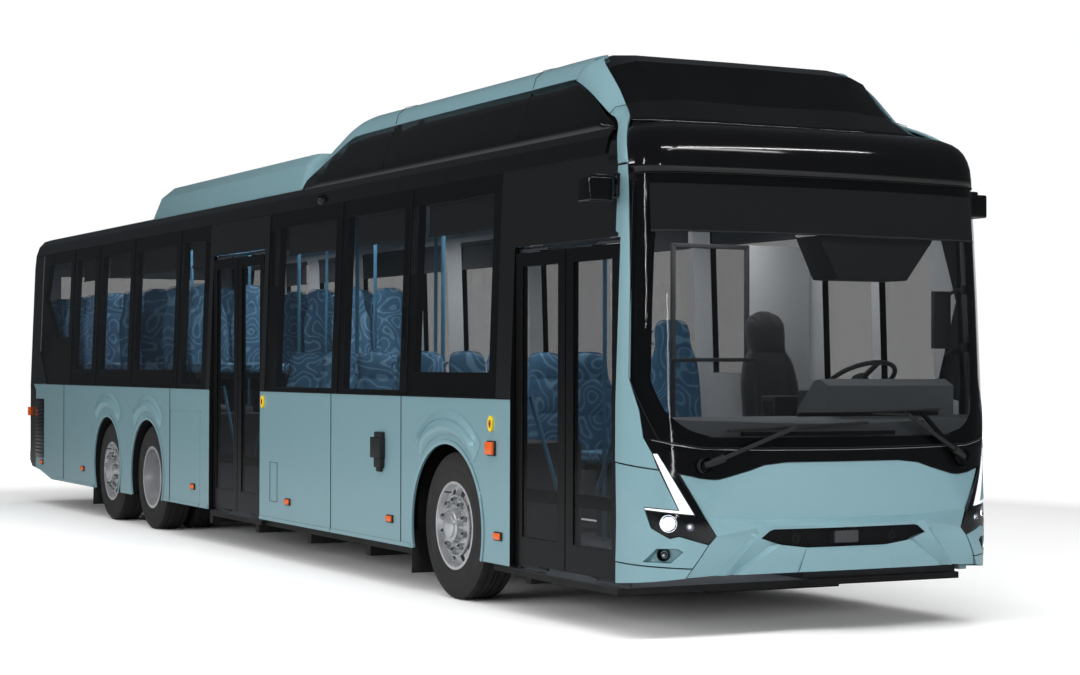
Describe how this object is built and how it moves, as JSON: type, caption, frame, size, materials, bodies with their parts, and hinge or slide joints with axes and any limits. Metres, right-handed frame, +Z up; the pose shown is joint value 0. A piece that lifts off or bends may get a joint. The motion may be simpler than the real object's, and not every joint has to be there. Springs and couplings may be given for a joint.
{
  "type": "intercity bus",
  "caption": "Low-entry electric intercity bus with inward-gliding doors, steered front wheels, a twin-tyred drive axle and trailing axle, roof fairings and a furnished saloon.",
  "frame": {"origin": "on the ground, under the middle of the overall box", "axes": "+Z up, nose towards -Y, passenger doors on the -X side"},
  "size_m": [2.9, 14.6, 3.5299],
  "materials": {
    "painted_steel": "satin",
    "floor_board": "matt",
    "body_paint": "satin metallic",
    "black_trim": "gloss",
    "tinted_glass": "gloss",
    "lamp_lens": "gloss",
    "dark_casing": "satin",
    "seat_fabric": "woven",
    "dark_plastic": "matt",
    "rail_paint": "gloss",
    "alloy": "polished",
    "tyre": "matt"
  },
  "bodies": {
    "bus": {"chassis_frame": "painted_steel", "floor": "floor_board", "right_side_wall": "body_paint", "left_side_wall": "body_paint", "roof_panel": "body_paint", "front_bumper": "body_paint", "front_header": "black_trim", "windscreen_surround": "black_trim", "windscreen": "tinted_glass", "rear_panel": "body_paint", "side_windows": "tinted_glass", "roof_fairings": "body_paint", "battery_packs": "dark_casing", "drive_motor": "dark_casing", "passenger_seats": "seat_fabric", "seat_frames": "dark_plastic", "drivers_seat": "seat_fabric", "dashboard": "dark_plastic", "grab_rails": "rail_paint", "driver_partition": "dark_plastic", "door_gear_covers": "black_trim", "headlamps": "lamp_lens", "tail_lamps": "lamp_lens", "wipers": "black_trim", "camera_pods": "black_trim", "front_axle": "painted_steel", "drive_axle": "painted_steel", "tag_axle": "painted_steel"},
    "right_knuckle": {"right_knuckle": "painted_steel"},
    "left_knuckle": {"left_knuckle": "painted_steel"},
    "tie_rod": {"tie_rod": "painted_steel"},
    "steering_wheel": {"steering_wheel": "dark_plastic"},
    "front_wheel_right": {"front_rim_right": "alloy", "front_tyre_right": "tyre"},
    "front_wheel_left": {"front_rim_left": "alloy", "front_tyre_left": "tyre"},
    "tag_wheel_right": {"tag_rim_right": "alloy", "tag_tyre_right": "tyre"},
    "tag_wheel_left": {"tag_rim_left": "alloy", "tag_tyre_left": "tyre"},
    "drive_wheels_right": {"drive_rim_right": "alloy", "drive_tyres_right": "tyre"},
    "drive_wheels_left": {"drive_rim_left": "alloy", "drive_tyres_left": "tyre"},
    "rear_hatch": {"rear_hatch": "body_paint"},
    "side_flap": {"side_flap": "body_paint"},
    "engine_flap": {"engine_flap": "body_paint"},
    "front_door_front_arm": {"front_door_front_arm": "black_trim"},
    "front_door_front_leaf": {"front_door_front_leaf": "black_trim"},
    "front_door_rear_arm": {"front_door_rear_arm": "black_trim"},
    "front_door_rear_leaf": {"front_door_rear_leaf": "black_trim"},
    "rear_door_front_arm": {"rear_door_front_arm": "black_trim"},
    "rear_door_front_leaf": {"rear_door_front_leaf": "black_trim"},
    "rear_door_rear_arm": {"rear_door_rear_arm": "black_trim"},
    "rear_door_rear_leaf": {"rear_door_rear_leaf": "black_trim"}
  },
  "joints": [
    {"name": "right_steer", "type": "hinge", "parent": "bus", "child": "right_knuckle", "pos_m": [-0.92, -4.45, 0.5], "axis": [0, 0, 1], "range_deg": [-42, 42]},
    {"name": "front_right_spin", "type": "hinge", "parent": "right_knuckle", "child": "front_wheel_right", "pos_m": [-1.095, -4.45, 0.5], "axis": [1, 0, 0], "continuous": true},
    {"name": "drive_right_spin", "type": "hinge", "parent": "bus", "child": "drive_wheels_right", "pos_m": [-1.095, 2.5, 0.5], "axis": [1, 0, 0], "continuous": true},
    {"name": "tag_right_spin", "type": "hinge", "parent": "bus", "child": "tag_wheel_right", "pos_m": [-1.095, 3.895, 0.5], "axis": [1, 0, 0], "continuous": true},
    {"name": "left_steer", "type": "hinge", "parent": "bus", "child": "left_knuckle", "pos_m": [0.92, -4.45, 0.5], "axis": [0, 0, 1], "range_deg": [-42, 42]},
    {"name": "front_left_spin", "type": "hinge", "parent": "left_knuckle", "child": "front_wheel_left", "pos_m": [1.095, -4.45, 0.5], "axis": [1, 0, 0], "continuous": true},
    {"name": "drive_left_spin", "type": "hinge", "parent": "bus", "child": "drive_wheels_left", "pos_m": [1.095, 2.5, 0.5], "axis": [1, 0, 0], "continuous": true},
    {"name": "tag_left_spin", "type": "hinge", "parent": "bus", "child": "tag_wheel_left", "pos_m": [1.095, 3.895, 0.5], "axis": [1, 0, 0], "continuous": true},
    {"name": "tie_rod_pivot", "type": "hinge", "parent": "right_knuckle", "child": "tie_rod", "pos_m": [-0.92, -4.26, 0.222], "axis": [0, 0, 1], "range_deg": [-43, 43]},
    {"name": "steering_wheel_turn", "type": "hinge", "parent": "bus", "child": "steering_wheel", "pos_m": [0.6, -6.58, 1.5], "axis": [0, 0.5, 0.866], "range_deg": [-760, 760]},
    {"name": "front_door_front_arm_turn", "type": "hinge", "parent": "bus", "child": "front_door_front_arm", "pos_m": [-1.187, -6.796, 1.2], "axis": [0, 0, 1], "range_deg": [-90, 0]},
    {"name": "front_door_front_leaf_turn", "type": "hinge", "parent": "front_door_front_arm", "child": "front_door_front_leaf", "pos_m": [-1.187, -6.432, 1.2], "axis": [0, 0, 1], "range_deg": [0, 180]},
    {"name": "front_door_rear_arm_turn", "type": "hinge", "parent": "bus", "child": "front_door_rear_arm", "pos_m": [-1.187, -5.384, 1.2], "axis": [0, 0, 1], "range_deg": [0, 90]},
    {"name": "front_door_rear_leaf_turn", "type": "hinge", "parent": "front_door_rear_arm", "child": "front_door_rear_leaf", "pos_m": [-1.187, -5.748, 1.2], "axis": [0, 0, 1], "range_deg": [-180, 0]},
    {"name": "rear_door_front_arm_turn", "type": "hinge", "parent": "bus", "child": "rear_door_front_arm", "pos_m": [-1.187, -0.716, 1.2], "axis": [0, 0, 1], "range_deg": [-90, 0]},
    {"name": "rear_door_front_leaf_turn", "type": "hinge", "parent": "rear_door_front_arm", "child": "rear_door_front_leaf", "pos_m": [-1.187, -0.3645, 1.2], "axis": [0, 0, 1], "range_deg": [0, 180]},
    {"name": "rear_door_rear_arm_turn", "type": "hinge", "parent": "bus", "child": "rear_door_rear_arm", "pos_m": [-1.187, 0.646, 1.2], "axis": [0, 0, 1], "range_deg": [0, 90]},
    {"name": "rear_door_rear_leaf_turn", "type": "hinge", "parent": "rear_door_rear_arm", "child": "rear_door_rear_leaf", "pos_m": [-1.187, 0.2945, 1.2], "axis": [0, 0, 1], "range_deg": [-180, 0]},
    {"name": "rear_hatch_hinge", "type": "hinge", "parent": "bus", "child": "rear_hatch", "pos_m": [0, 7.292, 1.75], "axis": [1, 0, 0], "range_deg": [0, 95]},
    {"name": "side_flap_hinge", "type": "hinge", "parent": "bus", "child": "side_flap", "pos_m": [-1.275, 1.325, 1.17], "axis": [0, 1, 0], "range_deg": [0, 100]},
    {"name": "engine_flap_hinge", "type": "hinge", "parent": "bus", "child": "engine_flap", "pos_m": [-1.275, 6.275, 1.29], "axis": [0, 1, 0], "range_deg": [0, 100]}
  ],
  "couplings": [
    {"joint": "left_steer", "follows": "right_steer", "ratio": 1},
    {"joint": "tie_rod_pivot", "follows": "right_steer", "ratio": -1},
    {"joint": "steering_wheel_turn", "follows": "right_steer", "ratio": 18},
    {"joint": "front_door_front_leaf_turn", "follows": "front_door_front_arm_turn", "ratio": -2},
    {"joint": "front_door_rear_arm_turn", "follows": "front_door_front_arm_turn", "ratio": -1},
    {"joint": "front_door_rear_leaf_turn", "follows": "front_door_front_arm_turn", "ratio": 2},
    {"joint": "rear_door_front_leaf_turn", "follows": "rear_door_front_arm_turn", "ratio": -2},
    {"joint": "rear_door_rear_arm_turn", "follows": "rear_door_front_arm_turn", "ratio": -1},
    {"joint": "rear_door_rear_leaf_turn", "follows": "rear_door_front_arm_turn", "ratio": 2}
  ]
}
